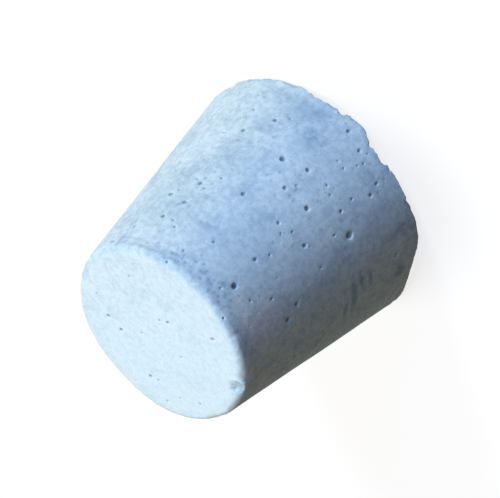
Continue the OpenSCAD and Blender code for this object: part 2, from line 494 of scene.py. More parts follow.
def stain_at(p, angle):
    """How dark the side's stains and painted shade are at a point; below 0 where it is paler."""
    total = 0.0
    for centre, height, half_length, half_height, tilt, depth in STAINS_AND_SHADE:
        x = wrapped(angle - math.radians(centre)) * (BASE_R - p.z * math.tan(TAPER))
        y = p.z - height
        reach = STAIN_AND_SHADE_END * max(half_length, half_height)
        if abs(x) > reach or abs(y) > reach:
            continue
        c, t = math.cos(math.radians(tilt)), math.sin(math.radians(tilt))
        along, across = (x * c + y * t) / half_length, (y * c - x * t) / half_height
        total += depth * math.exp(-(along * along + across * across))
    return total * below_tip(p)


def near_edge(p):
    """1 in the middle of the rounding of the narrow edge, and less and less away from it."""
    r, z = EDGE_MIDDLE
    away = math.hypot(math.hypot(p.x, p.y) - r, p.z - z) / EDGE_PAINT_REACH
    return math.exp(-away * away)


def edge_dirt_and_shade(p, angle):
    """How dark the dirt and painted shade in the rounding of the narrow edge are at a point."""
    total = 0.0
    for centre, half, depth in EDGE_DIRT_AND_SHADE:
        turn = wrapped(angle - math.radians(centre)) / math.radians(half)
        total += depth * math.exp(-turn ** 4)
    return total * near_edge(p)


def tone_and_light_tint_at(p, angle):
    """How grey the tone and painted light tint are at a point; below 0 where they are bluer, with
    the narrow edge's painted bluish light.
    """
    total = 0.0
    for centre, half, depth in SIDE_TONES_AND_LIGHT_TINTS:
        turn = wrapped(angle - math.radians(centre)) / math.radians(half)
        total += depth * math.exp(-turn * turn)
    # Painted bluish light along a stretch of the narrow edge's rounding
    centre, half, depth = EDGE_BLUE_LIGHT
    turn = wrapped(angle - math.radians(centre)) / math.radians(half)
    return total * below_tip(p) - depth * near_edge(p) * math.exp(-turn ** 4)


# ---------------------------------------------------------------- lean and bulge of the cast

def out_of_true(p, angle):
    """Shift of the whole cast from the ideal plug."""
    r = math.hypot(p.x, p.y)
    rise = LEAN * math.cos(angle - LEAN_ANGLE) * r / TIP_R - SETTLE
    rise *= smooth(LEAN_FROM, LENGTH, p.z)
    turn = wrapped(angle - BULGE_ANGLE) / BULGE_WIDTH
    out = BULGE * math.exp(-turn * turn) * (1 - smooth(0, BULGE_TOP, p.z))
    out *= smooth(BULGE_FROM, BASE_R, r)
    return Vector((out * math.cos(angle), out * math.sin(angle), rise))


BOX_LOW, BOX_HIGH = (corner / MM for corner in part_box("stopper"))


def kept_in_box(p):
    """The point, or the nearest one inside the solid's box."""
    return Vector(min(max(c, a), b) for c, a, b in zip(p, BOX_LOW, BOX_HIGH))


# ---------------------------------------------------------------- broken wide edge

EDGE_STEPS = 720          # angles at which the ends of the breaks are found
BREAK_STEP = 0.06         # how finely their ends are found
BREAK_GAP = 0.7           # whole skin as wide as this ends a break
CRUMBLE = 0.55            # how far the crumbled grain reaches past a break
CRUMBLE_FAR = RIM_REACH + 2    # past this no grain is felt
CRUMBLE_LOOK = 0.7        # how broken a crumbled place looks
SMOOTH_FROM, SMOOTH_TO = math.radians(-172), math.radians(-128)
SMOOTH_FADE = math.radians(9)
SMOOTH_SHARE = 0.25       # how ragged the wide edge is where it came out whole

# Grains of the breaks, and of the chip in the narrow edge: size, shift
CRUMBS = ((1.9, 0.16), (0.85, 0.11), (0.4, 0.05))
CHIP_CRUMBS = ((0.8, 0.13), (0.4, 0.09))

# Depths of the solid under the skin between which the skin gives way and starts to look broken
GONE = (0.015, 0.05)
BROKEN = (0.05, 0.3)


def break_ends():
    """For each angle, where the skin of the side and that of the wide end stop being whole."""
    side, base = [], []
    for i in range(EDGE_STEPS):
        angle = i * math.tau / EDGE_STEPS
        ends = []
        for sign in (-1, 1):
            s, last = ARRIS, ARRIS
            while abs(s - ARRIS) < RIM_REACH:
                point, normal = skin_point(s, angle)
                way = inward(s, angle, point, normal)
                hit = CAD.ray_cast(point - way * RAY_START, way, RAY_REACH)[0]
                if (hit - point).length > SKIN_WHOLE:
                    last = s
                elif abs(s - last) > BREAK_GAP:
                    break
                s += sign * BREAK_STEP
            ends.append(last)
        side.append(ends[0])
        base.append(ends[1])
    return side, base


SIDE_BREAK, BASE_BREAK = break_ends()


def raggedness(angle):
    """Full raggedness, except along the stretch of the wide edge that came out whole."""
    turn = wrapped(angle)
    whole = smooth(SMOOTH_FROM - SMOOTH_FADE, SMOOTH_FROM, turn)
    whole *= 1 - smooth(SMOOTH_TO, SMOOTH_TO + SMOOTH_FADE, turn)
    return 1 - (1 - SMOOTH_SHARE) * whole


def crumble_weight(s, angle):
    """1 on a break or on the edge, and less and less away from it."""
    place = angle % math.tau / math.tau * EDGE_STEPS
    i = int(place) % EDGE_STEPS
    j = (i + 1) % EDGE_STEPS
    f = place - int(place)
    top = SIDE_BREAK[i] * (1 - f) + SIDE_BREAK[j] * f
    foot = BASE_BREAK[i] * (1 - f) + BASE_BREAK[j] * f
    away = max(top - s, s - foot, 0.0)
    return math.exp(-(away / CRUMBLE) ** 2) * raggedness(angle)


def grainy(p, grains):
    """Shift that makes a broken face grainy."""
    shift = Vector((0, 0, 0))
    for size, height in grains:
        shift += noise.noise_vector(p / size + NOISE_SHIFT) * height
    return shift


CHIP_DEPTH = 0.65         # how much of the chip's depth the rubbed surface keeps
CHIP_UNEVEN = 0.12        # how much that share varies
CHIP_WAVE = 1.4           # and over what length
CHIP_NEAR = 4.0           # how far from the side's top a break is the chip


def cast_point(s, angle):
    """A point of the real surface, and how broken it is there."""
    point, normal = skin_point(s, angle)
    way = inward(s, angle, point, normal)
    hit = CAD.ray_cast(point - way * RAY_START, way, RAY_REACH)[0]
    depth = (hit - point).length if hit else 0.0
    gone = smooth(*GONE, depth)
    place = point.lerp(hit, gone) if hit else point
    broken = smooth(*BROKEN, depth)
    place = place + normal * skin_lift(place, s, angle) * (1 - broken)
    weight = 0.0
    if abs(s - ARRIS) < CRUMBLE_FAR:
        weight = crumble_weight(s, angle)
        place = place + grainy(place, CRUMBS) * weight
    elif broken > 0 and abs(s - CAP_END) < CHIP_NEAR:
        kept = CHIP_DEPTH + CHIP_UNEVEN * grain(point, CHIP_WAVE, CHIP_SEED)
        place = point.lerp(place, kept) + grainy(place, CHIP_CRUMBS) * broken
    place = place + out_of_true(place, angle)
    return kept_in_box(place), max(broken, weight * CRUMBLE_LOOK)


# ---------------------------------------------------------------- three sheets that make the skin

RING_TIP = 432            # points where the narrow end's sheet meets the side's
RING_BASE = 690           # points where the side's sheet meets the wide end's
SEAM_STEP = 0.3           # how far apart the points of the side's seam lie
JOIN_TRIES = 80           # places tried for the join of the narrow end and the side
JOIN_BELOW = 2.0          # how far below the narrow edge it may lie
SAME_PLACE = 1e-7         # points of a sheet this near are one
SIDE_SCALE = (BASE_R + TIP_R) / 2


def widest_gap(angles):
    """Middle of the widest gap between angles, where the side's sheet can be joined."""
    turn = sorted(a % math.tau for a in angles)
    gaps = [((b - a) % math.tau, a) for a, b in zip(turn, turn[1:] + turn[:1])]
    width, start = max(gaps)
    return start + width / 2


def clear_ring(holes, low, high):
    """Place along the outline, between two limits, that lies farthest from every blow hole."""
    places = [low + (high - low) * i / JOIN_TRIES for i in range(JOIN_TRIES + 1)]
    free = {place: min(abs(place - s) - math.sqrt(r ** 2 - depth ** 2) for s, _, r, depth in holes)
            for place in places}
    return max(places, key=free.get)


HOLES = cad_holes()
SEAM = widest_gap([h[1] for h in HOLES if CAP_END < h[0] < BASE_START])
TIP_JOIN = clear_ring(HOLES, CAP_END - TIP_ARC, CAP_END + JOIN_BELOW)
SIDE_WIDTH = math.tau * SIDE_SCALE


class Sheet:
    """A flat sheet that is cut into triangles and laid over one part of the skin. The narrow end's
    and the wide end's are discs, and the side's is the strip that it unrolls to."""

    def __init__(self, name, start, end):
        self.name, self.start, self.end = name, start, end
        self.flat, self.vertex = [], []

    def to_flat(self, s, angle):
        """Place on the sheet of a place on the skin."""
        if self.name == "side":
            return Vector((((angle - SEAM) % math.tau) * SIDE_SCALE, s))
        q = s if self.name == "tip" else OUTLINE_END - s
        return Vector((q * math.cos(angle), q * math.sin(angle)))

    def to_skin(self, flat):
        """Distance along the outline and angle of a place on the sheet."""
        if self.name == "side":
            return flat.y, flat.x / SIDE_SCALE + SEAM
        q = flat.length
        return (q if self.name == "tip" else OUTLINE_END - q), math.atan2(flat.y, flat.x)

    def shift_flat(self, flat, across, down):
        """A place on the sheet moved by true lengths round the plug and down the outline."""
        if self.name == "side":
            return flat + Vector((across * SIDE_SCALE / outline(flat.y)[0], down))
        angle = math.atan2(flat.y, flat.x)
        out = down if self.name == "tip" else -down
        return flat + Vector((out * math.cos(angle) - across * math.sin(angle),
                              out * math.sin(angle) + across * math.cos(angle)))

    def holds(self, s):
        """True if a place along the outline lies on this sheet."""
        return self.start < s < self.end

    def add(self, flat, vertex):
        """Puts a vertex of the skin on the sheet."""
        self.flat.append(flat)
        self.vertex.append(vertex)

    def triangles(self):
        """The sheet's triangles, as vertices of the skin."""
        result = delaunay_2d_cdt(self.flat, [], [], 0, SAME_PLACE)
        source = [ids[0] for ids in result[3]]
        for face in result[2]:
            yield tuple(self.vertex[source[i]] for i in face)


class Skin:
    """The growing mesh: points, and for each how hollow and broken it is, its stains with painted
    shade, and its tone with painted light tint.
    """

    def __init__(self):
        self.points, self.hollow, self.broken = [], [], []
        self.stain, self.tone_and_light_tint = [], []

    def add(self, point, hollow=0.0, broken=0.0):
        """Adds a point with its finish, and returns its number."""
        angle = math.atan2(point.y, point.x)
        self.points.append(point)
        self.hollow.append(hollow)
        self.broken.append(broken)
        # Stains and dirt together with painted shade, then tone together with painted light tint
        self.stain.append(stain_at(point, angle) * on_side(point) + edge_dirt_and_shade(point, angle))
        self.tone_and_light_tint.append(tone_and_light_tint_at(point, angle) * on_side(point))
        return len(self.points) - 1

    def add_cast(self, s, angle):
        """Adds the point of the real surface at a place on the skin."""
        point, broken = cast_point(s, angle)
        return self.add(point, 0.0, broken)


# ---------------------------------------------------------------- blow holes and pin holes

PIN_HOLES = 330
PIN_HOLE_R = (0.05, 0.12)
PIN_FROM, PIN_TO = 0.3, OUTLINE_END - 0.4    # stretch of the outline that pin holes lie on
PIN_SHARE_TIP = 0.6       # share of them that the narrow end keeps
PIN_SHARE_TOP = 0.35      # and the side at its top; it keeps them all at its foot
PIN_GAP = 0.1             # least gap between the lips of two pin holes
# How far they keep from the narrow join, the wide edge, the narrow edge and the side's seam
OFF_JOIN, OFF_ARRIS, OFF_EDGE, OFF_SEAM = 0.35, 2.6, 0.9, 0.45

LIP = 1.4                 # how far the worn lip of a hole reaches, as a share of its opening
LIP_SHARE = 0.94          # how much of the room between two holes their lips may take
RING_SHARE = 0.94         # how much of the lip the highest ring of a hole may take
HOLE_GAP = 0.17           # least gap between the lip and the next point of the skin

# Shape of a hole from its lip down: share of the opening, depth as a share of the opening
LARGE_HOLE = ((1.18, 0.04), (1.02, 0.15), (0.88, 0.40), (0.74, 0.78), (0.55, 1.12), (0.3, 1.3))
SMALL_HOLE = ((1.17, 0.05), (0.96, 0.24), (0.72, 0.66), (0.42, 1.0))
PIN_HOLE = ((1.05, 0.14), (0.6, 0.62))
LARGE_POINTS, SMALL_POINTS, PIN_POINTS = 18, 14, 8    # points in each of their rings
LARGE_SHAPE_FROM = 0.26   # least opening radius that takes the large hole's shape
LARGE_DEPTH_FROM = 0.36   # and that takes its depth
LARGE_DEEP = (1.1, 1.3)   # least and most depth of a large hole, as a share of its shape's
SMALL_DEEP = (0.6, 1.0)
FACE_DEEP = 0.6           # how deep the narrow face's holes are beside those of the side
BOTTOM_DROP = 0.04        # how far the bottom lies below the last ring
HOLE_STRETCH = 0.14       # how far from round a hole may be
HOLE_UNEVEN = 0.16        # how wavy its rings are
HOLE_WAVE = 0.45          # how long those waves are
LIP_BLEND = 3.0           # how soon below the lip a ring may be wavy
NUDGE = 0.1               # a small step down the outline, to find which way is down

# Holes of the side that wore wider or narrower than the solid's: angle, height, share of the size
WORN_HOLES = [
    (-115.5, 11.6, 1.1), (-93.5, 14.6, 0.82), (-70.0, 11.6, 0.9), (-131.0, 25.2, 1.2),
    (-104.5, 10.9, 0.85), (-105.5, 4.1, 0.85),
]
HOLE_MATCH = (0.3, 0.02)  # how near a hole lies to its place in that list: length, angle


class Hole:
    """A bubble that opens in the skin: its place, opening radius and how far its lip reaches."""

    def __init__(self, s, angle, r):
        self.s, self.angle, self.r = s, angle, r
        self.spot = skin_point(s, angle)[0]
        self.reach = LIP * r


# Small pits that the solid doesn't have: angle, height, opening radius
SIDE_PITS = [
    (-97.9, 29.85, 0.42), (-81.7, 2.1, 0.30), (-89.7, 19.13, 0.26), (-94.0, 19.9, 0.14),
    (-109.0, 29.2, 0.18), (-115.5, 26.3, 0.18), (-87.5, 6.5, 0.18), (-94.5, 4.8, 0.17),
    (-95.5, 3.9, 0.17), (-50.5, 21.1, 0.18), (-38.5, 22.6, 0.18), (-52.5, 28.6, 0.18),
    (-94.0, 31.6, 0.18), (-147.0, 9.2, 0.18), (-148.0, 6.1, 0.16), (158.0, 27.0, 0.30),
    (121.0, 30.2, 0.34), (67.0, 28.4, 0.24),
]
# Pits in the rounding of the narrow edge: angle, share of the rounding's arc, opening radius
EDGE_PITS = [(-107, 0.62, 0.20), (-63, 0.60, 0.16), (33, 0.62, 0.20), (148, 0.6, 0.18)]


def side_place(height):
    """Place along the outline of a height on the side."""
    return CAP_END + (SIDE_TOP[1] - height) / math.cos(TAPER)


def blow_holes():
    """The blow holes, with lips that don't run into each other."""
    holes = [Hole(s, angle, math.sqrt(r * r - d * d)) for s, angle, r, d in HOLES]
    for angle, height, share in WORN_HOLES:
        for hole in holes:
            turn = wrapped(hole.angle - math.radians(angle))
            if abs(hole.s - side_place(height)) < HOLE_MATCH[0] and abs(turn) < HOLE_MATCH[1]:
                hole.r *= share
                hole.reach = LIP * hole.r
    holes += [Hole(side_place(height), math.radians(angle), r) for angle, height, r in SIDE_PITS]
    holes += [Hole(TIP_FLAT_R + share * TIP_ARC, math.radians(angle), r)
              for angle, share, r in EDGE_PITS]
    for hole in holes:
        for other in holes:
            if other is not hole:
                room = (hole.spot - other.spot).length * hole.r / (hole.r + other.r) * LIP_SHARE
                hole.reach = min(hole.reach, room)
    return holes


def pins_kept(s):
    """Share of the pin holes that a place along the outline keeps."""
    keep = outline(s)[0] / BASE_R
    if s < CAP_END:
        return keep * PIN_SHARE_TIP
    if s < SIDE_END:
        return keep * (PIN_SHARE_TOP + (1 - PIN_SHARE_TOP) * (s - CAP_END) / SLANT)
    return keep


def pin_has_room(pin, others):
    """True if a pin hole is clear of the joins, of both edges and of the other holes."""
    if (abs(pin.s - TIP_JOIN) < OFF_JOIN or abs(pin.s - BASE_START) < OFF_ARRIS
            or abs(pin.s - CAP_END + TIP_ARC / 2) < OFF_EDGE):
        return False
    if pin.s > TIP_JOIN and abs(wrapped(pin.angle - SEAM)) * outline(pin.s)[0] < OFF_SEAM:
        return False
    return all((pin.spot - other.spot).length > pin.reach + other.reach + PIN_GAP
               for other in others)


def pin_holes(random_source, holes):
    """Fine pores, thicker towards the wide end, clear of each other and of the blow holes."""
    pins = []
    small, large = PIN_HOLE_R
    while len(pins) < PIN_HOLES:
        s = random_source.uniform(PIN_FROM, PIN_TO)
        angle = random_source.uniform(0, math.tau)
        r = small + (large - small) * random_source.random() ** 2
        if random_source.random() > pins_kept(s):
            continue
        pin = Hole(s, angle, r)
        if pin_has_room(pin, holes + pins):
            pins.append(pin)
    return pins


def hole_shape(r):
    """Rings of a hole of one opening radius, and the points in each."""
    if r <= PIN_HOLE_R[1]:
        return PIN_HOLE, PIN_POINTS
    return (LARGE_HOLE, LARGE_POINTS) if r > LARGE_SHAPE_FROM else (SMALL_HOLE, SMALL_POINTS)


def add_hole(skin, sheet, hole, random_source):
    """Adds one hole to the mesh: its lip, and rings down to its bottom."""
    r = hole.r
    point, normal = skin_point(hole.s, hole.angle)
    across = Vector((-math.sin(hole.angle), math.cos(hole.angle), 0))
    down = normal.cross(across)
    if down.dot(skin_point(hole.s + NUDGE, hole.angle)[0] - point) < 0:
        down = -down
    point = point + normal * skin_lift(point, hole.s, hole.angle) + out_of_true(point, hole.angle)
    point = kept_in_box(point)
    shape, count = hole_shape(r)
    start = random_source.uniform(0, math.tau)
    stretch = random_source.uniform(-HOLE_STRETCH, HOLE_STRETCH)
    low, high = LARGE_DEEP if r > LARGE_DEPTH_FROM else SMALL_DEEP
    deep = random_source.uniform(low, high) * (FACE_DEEP if hole.s < CAP_END - TIP_ARC else 1)
    flat_middle = sheet.to_flat(hole.s, hole.angle)
    turn = 0.0
    for share, depth in shape:
        share = min(share, RING_SHARE * hole.reach / r)
        turn += 0.5
        for i in range(count):
            a = start + (i + turn) * math.tau / count
            way = across * math.cos(a) + down * math.sin(a)
            wave = HOLE_UNEVEN * grain(point + way * r, HOLE_WAVE, HOLE_SEED)
            uneven = 1 + stretch * math.cos(2 * a) + wave
            uneven = 1 + (uneven - 1) * min(1.0, LIP_BLEND * (LIP - share))
            spot = point + way * (r * share * uneven) - normal * (r * depth * deep)
            flat = sheet.shift_flat(flat_middle, r * share * math.cos(a), r * share * math.sin(a))
            sheet.add(flat, skin.add(kept_in_box(spot), depth))
    bottom = point - normal * (r * deep * (shape[-1][1] + BOTTOM_DROP))
    sheet.add(flat_middle, skin.add(kept_in_box(bottom), 1.0))
    for i in range(count):
        a = start + i * math.tau / count
        flat = sheet.shift_flat(flat_middle, hole.reach * math.cos(a), hole.reach * math.sin(a))
        sheet.add(flat, skin.add_cast(*sheet.to_skin(flat)))


# ---------------------------------------------------------------- even cover of points

# How far apart the points of the skin lie, finer where the surface is more lively
ON_BREAKS, BY_BREAKS, ON_WIDE_FACE = 0.18, 0.27, 0.45
ON_NARROW_EDGE, BY_NARROW_EDGE, ON_NARROW_FACE, ON_SIDE = 0.21, 0.26, 0.345, 0.37
# and how far those stretches reach from the wide edge and from the narrow one
BREAKS_REACH, BY_BREAKS_REACH = 2.7, 6.8
NARROW_EDGE_REACH, BY_NARROW_EDGE_REACH = 1.2, 3.0

ROW_STEP = 0.866          # rows of a triangular grid, as a share of the spacing
LAST_ROW = 0.45           # least gap between the last row and the sheet's border, as such a share
SHIFT_ROUND = 0.2         # how far a point is shifted along its row, as a share of the gap
SHIFT_DOWN = 0.16         # and across it
SEAM_GAP = 0.12           # least gap between a row's points and the seam
CELL = 1.0                # size of a cell of the coarse grid that finds the holes near a point


def spacing(s):
    """How far apart the points of the skin lie at a place along the outline."""
    if abs(s - ARRIS) < BREAKS_REACH:
        return ON_BREAKS
    if abs(s - ARRIS) < BY_BREAKS_REACH:
        return BY_BREAKS
    if s > ARRIS:
        return ON_WIDE_FACE
    if abs(s - CAP_END + TIP_ARC / 2) < NARROW_EDGE_REACH:
        return ON_NARROW_EDGE
    if CAP_END < s < CAP_END + BY_NARROW_EDGE_REACH:
        return BY_NARROW_EDGE
    return ON_NARROW_FACE if s < CAP_END else ON_SIDE


def cells(spot, r):
    """Keys of the cells of the coarse grid that a ball reaches."""
    spans = [range(int((c - r) // CELL), int((c + r) // CELL) + 1) for c in spot]
    return [(x, y, z) for x in spans[0] for y in spans[1] for z in spans[2]]


def cover(skin, sheet, blocked, random_source):
    """Fills a sheet with rows of points, clear of the holes and of the sheet's borders."""
    near = {}
    for hole in blocked:
        reach = hole.reach + HOLE_GAP
        for key in cells(hole.spot, reach):
            near.setdefault(key, []).append((hole.spot, reach))
    s = sheet.start
    row = 0
    while True:
        s += spacing(s) * ROW_STEP
        if s > sheet.end - LAST_ROW * spacing(sheet.end):
            break
        row += 1
        r = max(outline(s)[0], 0.0)
        count = max(int(math.tau * r / spacing(s)), 1)
        for i in range(count):
            shift = random_source.uniform(-SHIFT_ROUND, SHIFT_ROUND)
            angle = (i + 0.5 * (row % 2) + shift) * math.tau / count
            here = s + random_source.uniform(-SHIFT_DOWN, SHIFT_DOWN) * spacing(s)
            if sheet.name == "side" and abs(wrapped(angle - SEAM)) * r < SEAM_GAP:
                continue
            spot = skin_point(here, angle)[0]
            key = tuple(int(c // CELL) for c in spot)
            if any((spot - p).length < q for p, q in near.get(key, ())):
                continue
            sheet.add(sheet.to_flat(here, angle), skin.add_cast(here, angle))


CHIP_ANGLES = (-168, -146)   # stretch of the narrow edge that the chip takes up
CHIP_FROM = 11.2             # place along the outline where the chip starts
CHIP_PAST = 0.6              # how far past the narrow edge it goes
CHIP_STEP = 0.12             # how far apart the extra points on it lie
CHIP_SHIFT = 0.3             # how far they are shifted, as a share of that


def cover_chip(skin, sheet, source):
    """Extra points over the chip in the narrow edge, for its roughness."""
    low, high = (math.radians(a) for a in CHIP_ANGLES)
    s = max(CHIP_FROM, sheet.start + CHIP_STEP)
    end = min(CAP_END + CHIP_PAST, sheet.end - CHIP_STEP)
    while s < end:
        angle = low
        while angle < high:
            here = s + source.uniform(-CHIP_SHIFT, CHIP_SHIFT) * CHIP_STEP
            turn = angle + source.uniform(-CHIP_SHIFT, CHIP_SHIFT) * CHIP_STEP / TIP_R
            sheet.add(sheet.to_flat(here, turn), skin.add_cast(here, turn))
            angle += CHIP_STEP / TIP_R
        s += CHIP_STEP


def ring_vertices(skin, s, count):
    """Points all round the plug, where two sheets meet."""
    return [skin.add_cast(s, SEAM + i * math.tau / count) for i in range(count)]


def build_skin():
    """The whole cast surface as one closed mesh."""
    source = random.Random(SEED)
    skin = Skin()
    sheets = [Sheet("tip", 0.0, TIP_JOIN), Sheet("side", TIP_JOIN, BASE_START),
              Sheet("base", BASE_START, OUTLINE_END)]
    tip, side, base = sheets
    tip_ring = ring_vertices(skin, TIP_JOIN, RING_TIP)
    base_ring = ring_vertices(skin, BASE_START, RING_BASE)
    for i, v in enumerate(tip_ring):
        tip.add(tip.to_flat(TIP_JOIN, SEAM + i * math.tau / RING_TIP), v)
    for i, v in enumerate(base_ring):
        base.add(base.to_flat(BASE_START, SEAM + i * math.tau / RING_BASE), v)
    for s, ring in ((TIP_JOIN, tip_ring), (BASE_START, base_ring)):
        for i in range(len(ring) + 1):
            side.add(Vector((i / len(ring) * SIDE_WIDTH, s)), ring[i % len(ring)])
    steps = int((BASE_START - TIP_JOIN) / SEAM_STEP)
    for j in range(1, steps):
        s = TIP_JOIN + (BASE_START - TIP_JOIN) * j / steps
        v = skin.add_cast(s, SEAM)
        side.add(Vector((0.0, s)), v)
        side.add(Vector((SIDE_WIDTH, s)), v)
    holes = blow_holes()
    holes += pin_holes(source, holes)
    for sheet in sheets:
        mine = [hole for hole in holes if sheet.holds(hole.s)]
        for hole in mine:
            add_hole(skin, sheet, hole, source)
        cover(skin, sheet, mine, source)
        if sheet.start < CAP_END and sheet.end > CHIP_FROM:
            cover_chip(skin, sheet, source)
    faces = [t for sheet in sheets for t in sheet.triangles() if len(set(t)) == 3]
    return skin, faces


def make_stopper():
    """The cast stopper as a Blender mesh in metres, with each point's finish kept on it."""
    skin, faces = build_skin()
    mesh = bpy.data.meshes.new("cast_stopper")
    mesh.from_pydata([p * MM for p in skin.points], [], faces)
    for name, values in (("hollow", skin.hollow), ("broken", skin.broken), ("stain", skin.stain),
                         ("tone_and_light_tint", skin.tone_and_light_tint)):
        layer = mesh.attributes.new(name, "FLOAT", "POINT")
        layer.data.foreach_set("value", values)
    bm = bmesh.new()
    bm.from_mesh(mesh)
    bmesh.ops.delete(bm, geom=[v for v in bm.verts if not v.link_faces], context="VERTS")
    bmesh.ops.recalc_face_normals(bm, faces=bm.faces)
    for face in bm.faces:
        face.smooth = True
    bm.to_mesh(mesh)
    bm.free()
    piece = bpy.data.objects.new("cast_stopper", mesh)
    bpy.context.scene.collection.objects.link(piece)
    return piece


# ---------------------------------------------------------------- finish of the concrete

def add_node(tree, kind, inputs=None, **settings):
    """Adds a node; an input is either a plain value or another node's output."""
    node = tree.nodes.new(kind)
    for key, value in settings.items():
        setattr(node, key, value)
    for key, value in (inputs or {}).items():
        if isinstance(value, bpy.types.NodeSocket):
            tree.links.new(value, node.inputs[key])
        else:
            node.inputs[key].default_value = value
    return node


def new_material(name):
    """An empty material, its node tree and its output node."""
    material = bpy.data.materials.new(name)
    material.use_nodes = True
    tree = material.node_tree
    tree.nodes.clear()
    output = add_node(tree, "ShaderNodeOutputMaterial")
    return material, tree, output


def ramp(tree, factor, *stops):
    """Colour ramp from (place, colour) stops."""
    node = add_node(tree, "ShaderNodeValToRGB", {"Fac": factor})
    elements = node.color_ramp.elements
    for i, (place, colour) in enumerate(stops):
        element = elements[i] if i < 2 else elements.new(place)
        element.position = place
        element.color = (*colour, 1)
    return node.outputs["Color"]


def tint(tree, colour, shade, amount, blend="MULTIPLY"):
    """Multiplies a colour by a shade, or blends it otherwise, where the amount is high."""
    node = add_node(tree, "ShaderNodeMix", {"Factor": amount}, data_type="RGBA", blend_type=blend)
    tree.links.new(colour, node.inputs["A"])
    node.inputs["B"].default_value = (*shade, 1)
    return node.outputs["Result"]


def attribute(tree, name):
    """A value that the mesh keeps for each of its points."""
    return add_node(tree, "ShaderNodeAttribute", attribute_name=name).outputs["Fac"]


def math_node(tree, operation, a, b):
    """One step of arithmetic; a and b are plain values or other nodes' outputs."""
    node = add_node(tree, "ShaderNodeMath", operation=operation)
    for socket, value in zip(node.inputs, (a, b)):
        if isinstance(value, bpy.types.NodeSocket):
            tree.links.new(value, socket)
        else:
            socket.default_value = value
    return node.outputs["Value"]


def between(tree, value, low, high):
    """0 where a value is at or below low, 1 at or above high."""
    node = add_node(tree, "ShaderNodeMapRange",
                    {"Value": value, "From Min": low, "From Max": high},
                    interpolation_type="SMOOTHSTEP")
    return node.outputs["Result"]


def both_ways(tree, value):
    """How far a value lies above 0, and how far below."""
    opposite = math_node(tree, "MULTIPLY", value, -1.0)
    return between(tree, value, 0.0, 1.0), between(tree, opposite, 0.0, 1.0)


def bumps(tree, position, size, detail, roughness):
    """Noise whose largest bumps are about one size across, in millimetres."""
    node = add_node(tree, "ShaderNodeTexNoise", {
        "Vector": position, "Scale": 1 / (size * MM), "Detail": detail, "Roughness": roughness})
    return node.outputs["Fac"]


SPOT_WOBBLE = 0.3         # how far the spots' borders wander, as a share of a cell


def spots(tree, position, cell, rarity, radius):
    """Soft round spots of uneven strength: one cell size in millimetres, the share of cells left
    empty and the spots' radius as a share of a cell."""
    wobble = add_node(tree, "ShaderNodeTexNoise", {
        "Vector": position, "Scale": 2 / (cell * MM), "Detail": 1.0})
    shift = add_node(tree, "ShaderNodeVectorMath", {
        0: wobble.outputs["Color"], "Scale": SPOT_WOBBLE * cell * MM}, operation="SCALE")
    moved = add_node(tree, "ShaderNodeVectorMath", {0: position, 1: shift.outputs["Vector"]})
    web = add_node(tree, "ShaderNodeTexVoronoi", {
        "Vector": moved.outputs["Vector"], "Scale": 1 / (cell * MM)})
    chance = add_node(tree, "ShaderNodeSeparateColor", {"Color": web.outputs["Color"]})
    strength = between(tree, chance.outputs["Red"], rarity, 1.0)
    edge = add_node(tree, "ShaderNodeMapRange", {
        "Value": web.outputs["Distance"], "From Min": 0.0, "From Max": radius,
        "To Min": 1.0, "To Max": 0.0}, interpolation_type="SMOOTHSTEP")
    return math_node(tree, "MULTIPLY", edge.outputs["Result"], strength)


# Colours of the paste on the side, and the evener one of the narrow face
PASTE_LIGHT = (0.80, 0.93, 0.96)
PASTE_MID = (0.75, 0.89, 0.94)
PASTE_DARK = (0.66, 0.81, 0.89)
FACE_TONE = (0.715, 0.87, 0.92)
FACE_FROM = 33.3          # height above which the narrow face's tone takes over
FACE_CALM = 0.6           # how much fainter its blotches and specks are

# Shades that the paste's colour is multiplied by; PALER is screened over it
# The next two tint both the tone and the painted light colour: greyer in shade and at the brightest,
# bluer in the half-lit band
GREY_LIGHT_AND_TONE = (1.0, 0.93, 0.81)
BLUE_LIGHT_AND_TONE = (0.88, 0.94, 1.0)
# Darkens the stains and the painted shade alike
STAINED_AND_SHADED = (0.62, 0.69, 0.77)
PALER = (0.70, 0.66, 0.60)
BLOTCH = (0.84, 0.87, 0.90)
MOTTLE = (0.84, 0.86, 0.89)
SPECK = (0.58, 0.63, 0.70)
FINE_SPECK = (0.76, 0.79, 0.83)
GRIT = (0.93, 0.935, 0.94)
# Dust and painted shade at the bottom of the holes
HOLLOW_DUST_AND_SHADE = (0.62, 0.64, 0.67)
# Painted bluish light on the breaks
BREAK_BLUE_LIGHT_TINT = (0.78, 0.87, 0.95)

# Sizes of what makes up the finish, in millimetres
CLOUD_SIZE = 9
STAIN_AND_SHADE_GRAIN_SIZE = 1.1
BLOTCH_SIZE = 3.4
MOTTLE_SIZE = 0.85
SPECK_PATCH_SIZE = 5
SPECK_CELL, FINE_SPECK_CELL = 1.0, 0.5
GRIT_SIZE = 0.24
RIPPLE_SIZE = 0.7

ROUGHNESS = (0.78, 0.9)
SHINE = 0.25              # specular level
BUMP_STRENGTH = 0.2
BUMP_DEPTH = 0.06
GRIT_SHARE = 0.35         # the grit's share of the bumps; the ripples have the rest


def paste_colour(tree, cloud, face):
    """Cloudy colour of the side, and the evener one of the narrow face."""
    colour = ramp(tree, cloud, (0.32, PASTE_DARK), (0.5, PASTE_MID), (0.68, PASTE_LIGHT))
    return tint(tree, colour, FACE_TONE, face, blend="MIX")


